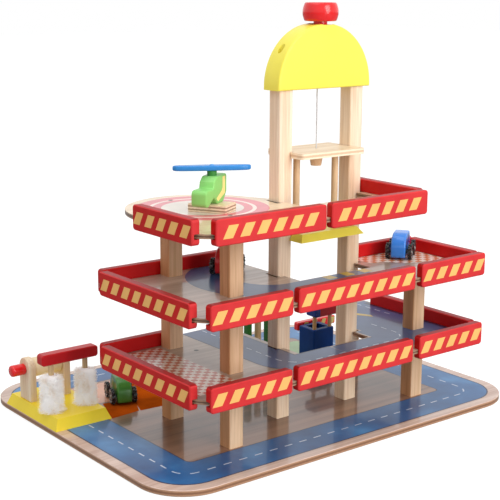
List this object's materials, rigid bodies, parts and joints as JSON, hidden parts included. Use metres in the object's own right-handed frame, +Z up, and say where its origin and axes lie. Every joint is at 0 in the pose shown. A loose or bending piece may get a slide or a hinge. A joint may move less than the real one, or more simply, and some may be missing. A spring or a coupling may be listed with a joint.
{
  "type": "toy parking garage with lift",
  "caption": "Wooden toy parking garage: printed decks on square posts with striped fences, a wound string lift in an arched tower, a car wash, cars and a helicopter.",
  "frame": {"origin": "centre of the bounding box at the underside of the base board", "axes": "+Z up, +X to the right along the front fences, +Y from the front fences towards the back"},
  "size_m": [0.6122, 0.47, 0.5527],
  "materials": {
    "ply_board": "clear gloss varnish over a printed board",
    "beech": "clear varnish",
    "pale_wood": "clear varnish",
    "red_paint": "gloss paint on wood",
    "yellow_paint": "gloss paint on wood",
    "green_paint": "gloss paint on wood",
    "blue_paint": "gloss paint on wood",
    "navy_paint": "gloss paint on wood",
    "black_tyre": "matt moulded plastic",
    "bristle": "soft white fibre",
    "string": "twisted cord"
  },
  "bodies": {
    "garage": {"base_board": "ply_board", "deck_1": "ply_board", "deck_2": "ply_board", "deck_3": "ply_board", "post_left_front_1": "beech", "post_left_front_2": "beech", "post_left_front_3": "beech", "post_left_back_1": "beech", "post_left_back_2": "beech", "post_left_back_3": "beech", "post_right_front_1": "beech", "post_right_front_2": "beech", "post_right_back_1": "beech", "tower_post_left": "beech", "tower_post_right": "beech", "fence_1_left": "red_paint", "fence_1_front_left": "red_paint", "fence_1_front_middle": "red_paint", "fence_1_front_right": "red_paint", "fence_1_back_left": "red_paint", "fence_1_right": "red_paint", "fence_2_left": "red_paint", "fence_2_front_left": "red_paint", "fence_2_front_middle": "red_paint", "fence_2_front_right": "red_paint", "fence_2_back_left": "red_paint", "fence_2_right": "red_paint", "fence_2_back_right": "red_paint", "fence_3_left": "red_paint", "fence_3_front_left": "red_paint", "fence_3_front_right": "red_paint", "fence_3_right": "red_paint", "tower_arch": "yellow_paint", "wash_base": "yellow_paint", "wash_beam": "red_paint", "back_rail": "red_paint", "pump_canopy": "red_paint", "wash_upright_left": "pale_wood", "wash_upright_right": "pale_wood", "lift_string": "string", "service_stand": "green_paint", "pump_box": "navy_paint"},
    "lift": {"lift_floor": "yellow_paint", "lift_frame": "pale_wood"},
    "knob": {"winding_knob": "red_paint"},
    "roller": {"wash_roller": "red_paint"},
    "brush_left": {"wash_brush_left": "bristle"},
    "brush_right": {"wash_brush_right": "bristle"},
    "helicopter": {"helicopter_body": "green_paint", "helicopter_skid": "pale_wood"},
    "rotor": {"helicopter_rotor": "blue_paint"},
    "car_blue": {"car_blue_body": "blue_paint"},
    "car_blue_rear_wheels": {"car_blue_wheels_rear": "black_tyre"},
    "car_blue_front_wheels": {"car_blue_wheels_front": "black_tyre"},
    "car_green": {"car_green_body": "green_paint"},
    "car_green_rear_wheels": {"car_green_wheels_rear": "black_tyre"},
    "car_green_front_wheels": {"car_green_wheels_front": "black_tyre"},
    "car_red": {"car_red_body": "red_paint"},
    "car_red_rear_wheels": {"car_red_wheels_rear": "black_tyre"},
    "car_red_front_wheels": {"car_red_wheels_front": "black_tyre"}
  },
  "joints": [
    {"name": "lift_slide", "type": "slide", "parent": "garage", "child": "lift", "axis": [0, 0, 1], "range_m": [-0.2415, 0.078], "deforming": ["lift_string"]},
    {"name": "knob_turn", "type": "hinge", "parent": "garage", "child": "knob", "pos_m": [0.0376, -0.0995, 0.541], "axis": [0, 0, 1], "range_deg": [-2100, 680]},
    {"name": "roller_spin", "type": "hinge", "parent": "garage", "child": "roller", "pos_m": [-0.25485, 0.125, 0.067], "axis": [1, 0, 0], "continuous": true},
    {"name": "brush_left_spin", "type": "hinge", "parent": "garage", "child": "brush_left", "pos_m": [-0.27785, 0.065, 0.048], "axis": [0, 0, 1], "continuous": true},
    {"name": "brush_right_spin", "type": "hinge", "parent": "garage", "child": "brush_right", "pos_m": [-0.22685, 0.065, 0.048], "axis": [0, 0, 1], "continuous": true},
    {"name": "helicopter_lift_off", "type": "slide", "parent": "garage", "child": "helicopter", "axis": [0, 0, 1], "range_m": [0, 0.1]},
    {"name": "rotor_spin", "type": "hinge", "parent": "helicopter", "child": "rotor", "pos_m": [-0.13685, -0.101, 0.3547], "axis": [0, 0, 1], "continuous": true},
    {"name": "car_blue_lift_off", "type": "slide", "parent": "garage", "child": "car_blue", "axis": [0, 0, 1], "range_m": [0, 0.05]},
    {"name": "car_blue_rear_spin", "type": "hinge", "parent": "car_blue", "child": "car_blue_rear_wheels", "pos_m": [0.16469, -0.12842, 0.2145], "axis": [-0.5948, 0.8039, 0], "continuous": true},
    {"name": "car_blue_front_spin", "type": "hinge", "parent": "car_blue", "child": "car_blue_front_wheels", "pos_m": [0.18961, -0.10998, 0.2145], "axis": [-0.5948, 0.8039, 0], "continuous": true},
    {"name": "car_green_lift_off", "type": "slide", "parent": "garage", "child": "car_green", "axis": [0, 0, 1], "range_m": [0, 0.05]},
    {"name": "car_green_rear_spin", "type": "hinge", "parent": "car_green", "child": "car_green_rear_wheels", "pos_m": [-0.165, 0.06984, 0.019], "axis": [-0.9455, 0.3256, 0], "continuous": true},
    {"name": "car_green_front_spin", "type": "hinge", "parent": "car_green", "child": "car_green_front_wheels", "pos_m": [-0.1549, 0.09916, 0.019], "axis": [-0.9455, 0.3256, 0], "continuous": true},
    {"name": "car_red_lift_off", "type": "slide", "parent": "garage", "child": "car_red", "axis": [0, 0, 1], "range_m": [0, 0.05]},
    {"name": "car_red_rear_spin", "type": "hinge", "parent": "car_red", "child": "car_red_rear_wheels", "pos_m": [-0.08496, -0.05704, 0.2145], "axis": [-0.6157, 0.788, 0], "continuous": true},
    {"name": "car_red_front_spin", "type": "hinge", "parent": "car_red", "child": "car_red_front_wheels", "pos_m": [-0.06054, -0.03796, 0.2145], "axis": [-0.6157, 0.788, 0], "continuous": true}
  ],
  "couplings": [
    {"joint": "knob_turn", "follows": "lift_slide", "rad_per_m": 147.06}
  ]
}
